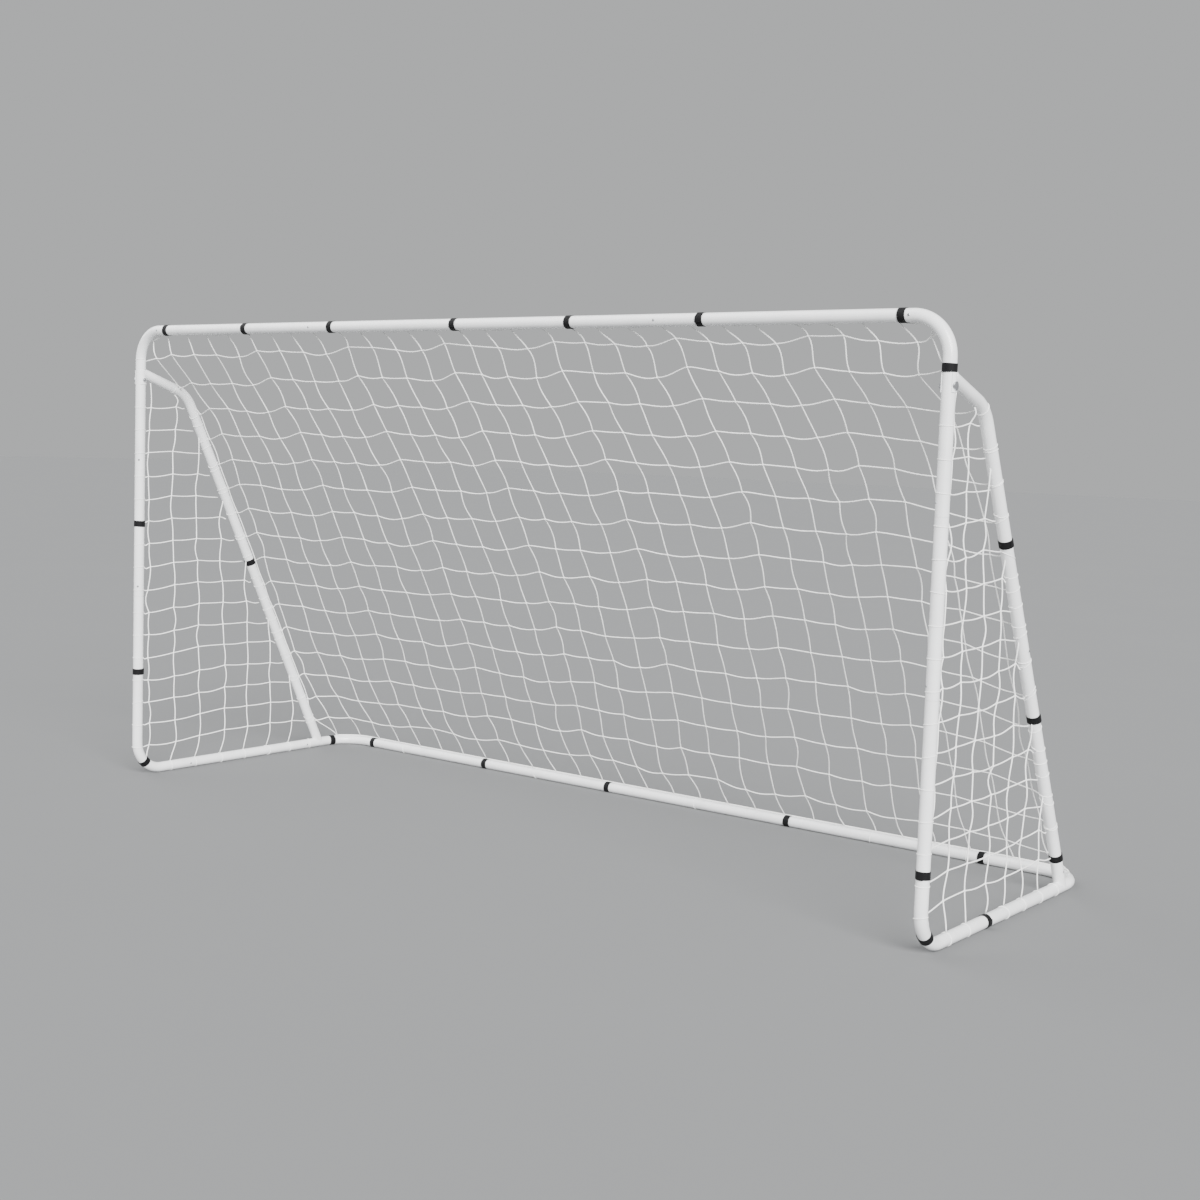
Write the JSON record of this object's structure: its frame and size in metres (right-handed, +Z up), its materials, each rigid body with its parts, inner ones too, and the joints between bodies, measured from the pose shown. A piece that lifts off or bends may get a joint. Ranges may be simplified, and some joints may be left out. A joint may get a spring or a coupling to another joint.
{
  "type": "soccer goal frame",
  "caption": "Freestanding soccer goal of push-fit round tube: two posts, crossbar, ground frame, a bent brace each side, and a strapped-on net.",
  "frame": {"origin": "on the ground, midway between the posts and midway between the crossbar and the rear ground bar", "axes": "+X along the crossbar, +Y from the mouth to the back, +Z up"},
  "size_m": [3.6142, 1.2236, 1.8317],
  "materials": {
    "coated_tube": "glossy white powder coat over steel",
    "strap": "black woven hook-and-loop tape",
    "net": "white twisted twine",
    "zinc_steel": "zinc plated steel",
    "spring_steel": "bare spring steel"
  },
  "bodies": {
    "frame": {"back_net": "net", "brace_bolts": "zinc_steel", "brace_nuts": "zinc_steel", "brace_straps": "strap", "button_spring_legs": "spring_steel", "corner_straps": "strap", "crossbar_centre": "coated_tube", "crossbar_left": "coated_tube", "crossbar_right": "coated_tube", "crossbar_straps": "strap", "left_bottom_corner_tube": "coated_tube", "left_brace_leg": "coated_tube", "left_brace_saddle": "coated_tube", "left_brace_stub": "coated_tube", "left_brace_top": "coated_tube", "left_middle_post": "coated_tube", "left_post_straps": "strap", "left_rear_corner_tube": "coated_tube", "left_side_ground_tube": "coated_tube", "left_side_net": "net", "left_top_corner_tube": "coated_tube", "rear_bar_centre": "coated_tube", "rear_bar_left": "coated_tube", "rear_bar_right": "coated_tube", "rear_bar_straps": "strap", "right_bottom_corner_tube": "coated_tube", "right_brace_leg": "coated_tube", "right_brace_saddle": "coated_tube", "right_brace_stub": "coated_tube", "right_brace_top": "coated_tube", "right_middle_post": "coated_tube", "right_post_straps": "strap", "right_rear_corner_tube": "coated_tube", "right_side_ground_tube": "coated_tube", "right_side_net": "net", "right_top_corner_tube": "coated_tube", "side_tube_strap": "strap"},
    "left_brace_foot_button": {"left_brace_foot_button": "spring_steel"},
    "left_brace_middle_button": {"left_brace_middle_button": "spring_steel"},
    "left_crossbar_centre_button": {"left_crossbar_centre_button": "spring_steel"},
    "left_crossbar_end_button": {"left_crossbar_end_button": "spring_steel"},
    "left_lower_post_button": {"left_lower_post_button": "spring_steel"},
    "left_rear_bar_centre_button": {"left_rear_bar_centre_button": "spring_steel"},
    "left_rear_bar_end_button": {"left_rear_bar_end_button": "spring_steel"},
    "left_side_front_button": {"left_side_front_button": "spring_steel"},
    "left_side_rear_button": {"left_side_rear_button": "spring_steel"},
    "left_upper_post_button": {"left_upper_post_button": "spring_steel"},
    "right_brace_foot_button": {"right_brace_foot_button": "spring_steel"},
    "right_brace_middle_button": {"right_brace_middle_button": "spring_steel"},
    "right_crossbar_centre_button": {"right_crossbar_centre_button": "spring_steel"},
    "right_crossbar_end_button": {"right_crossbar_end_button": "spring_steel"},
    "right_lower_post_button": {"right_lower_post_button": "spring_steel"},
    "right_rear_bar_centre_button": {"right_rear_bar_centre_button": "spring_steel"},
    "right_rear_bar_end_button": {"right_rear_bar_end_button": "spring_steel"},
    "right_side_front_button": {"right_side_front_button": "spring_steel"},
    "right_side_rear_button": {"right_side_rear_button": "spring_steel"},
    "right_upper_post_button": {"right_upper_post_button": "spring_steel"}
  },
  "joints": [
    {"name": "left_brace_foot_button_press", "type": "slide", "parent": "frame", "child": "left_brace_foot_button", "axis": [1, 0, 0], "range_m": [0, 0.0032], "stiffness_N_per_m": 1500},
    {"name": "left_brace_middle_button_press", "type": "slide", "parent": "frame", "child": "left_brace_middle_button", "axis": [1, 0, 0], "range_m": [0, 0.0032], "stiffness_N_per_m": 1500},
    {"name": "left_crossbar_centre_button_press", "type": "slide", "parent": "frame", "child": "left_crossbar_centre_button", "axis": [0, 1, 0], "range_m": [0, 0.0032], "stiffness_N_per_m": 1500},
    {"name": "left_crossbar_end_button_press", "type": "slide", "parent": "frame", "child": "left_crossbar_end_button", "axis": [0, 1, 0], "range_m": [0, 0.0032], "stiffness_N_per_m": 1500},
    {"name": "left_lower_post_button_press", "type": "slide", "parent": "frame", "child": "left_lower_post_button", "axis": [-0.6428, 0.766, 0], "range_m": [0, 0.0032], "stiffness_N_per_m": 1500},
    {"name": "left_rear_bar_centre_button_press", "type": "slide", "parent": "frame", "child": "left_rear_bar_centre_button", "axis": [0, -1, 0], "range_m": [0, 0.0032], "stiffness_N_per_m": 1500},
    {"name": "left_rear_bar_end_button_press", "type": "slide", "parent": "frame", "child": "left_rear_bar_end_button", "axis": [0, -1, 0], "range_m": [0, 0.0032], "stiffness_N_per_m": 1500},
    {"name": "left_side_front_button_press", "type": "slide", "parent": "frame", "child": "left_side_front_button", "axis": [-1, 0, 0], "range_m": [0, 0.0032], "stiffness_N_per_m": 1500},
    {"name": "left_side_rear_button_press", "type": "slide", "parent": "frame", "child": "left_side_rear_button", "axis": [-1, 0, 0], "range_m": [0, 0.0032], "stiffness_N_per_m": 1500},
    {"name": "left_upper_post_button_press", "type": "slide", "parent": "frame", "child": "left_upper_post_button", "axis": [-0.6428, 0.766, 0], "range_m": [0, 0.0032], "stiffness_N_per_m": 1500},
    {"name": "right_brace_foot_button_press", "type": "slide", "parent": "frame", "child": "right_brace_foot_button", "axis": [-1, 0, 0], "range_m": [0, 0.0032], "stiffness_N_per_m": 1500},
    {"name": "right_brace_middle_button_press", "type": "slide", "parent": "frame", "child": "right_brace_middle_button", "axis": [-1, 0, 0], "range_m": [0, 0.0032], "stiffness_N_per_m": 1500},
    {"name": "right_crossbar_centre_button_press", "type": "slide", "parent": "frame", "child": "right_crossbar_centre_button", "axis": [0, 1, 0], "range_m": [0, 0.0032], "stiffness_N_per_m": 1500},
    {"name": "right_crossbar_end_button_press", "type": "slide", "parent": "frame", "child": "right_crossbar_end_button", "axis": [0, 1, 0], "range_m": [0, 0.0032], "stiffness_N_per_m": 1500},
    {"name": "right_lower_post_button_press", "type": "slide", "parent": "frame", "child": "right_lower_post_button", "axis": [0.6428, 0.766, 0], "range_m": [0, 0.0032], "stiffness_N_per_m": 1500},
    {"name": "right_rear_bar_centre_button_press", "type": "slide", "parent": "frame", "child": "right_rear_bar_centre_button", "axis": [0, -1, 0], "range_m": [0, 0.0032], "stiffness_N_per_m": 1500},
    {"name": "right_rear_bar_end_button_press", "type": "slide", "parent": "frame", "child": "right_rear_bar_end_button", "axis": [0, -1, 0], "range_m": [0, 0.0032], "stiffness_N_per_m": 1500},
    {"name": "right_side_front_button_press", "type": "slide", "parent": "frame", "child": "right_side_front_button", "axis": [1, 0, 0], "range_m": [0, 0.0032], "stiffness_N_per_m": 1500},
    {"name": "right_side_rear_button_press", "type": "slide", "parent": "frame", "child": "right_side_rear_button", "axis": [1, 0, 0], "range_m": [0, 0.0032], "stiffness_N_per_m": 1500},
    {"name": "right_upper_post_button_press", "type": "slide", "parent": "frame", "child": "right_upper_post_button", "axis": [0.6428, 0.766, 0], "range_m": [0, 0.0032], "stiffness_N_per_m": 1500}
  ]
}
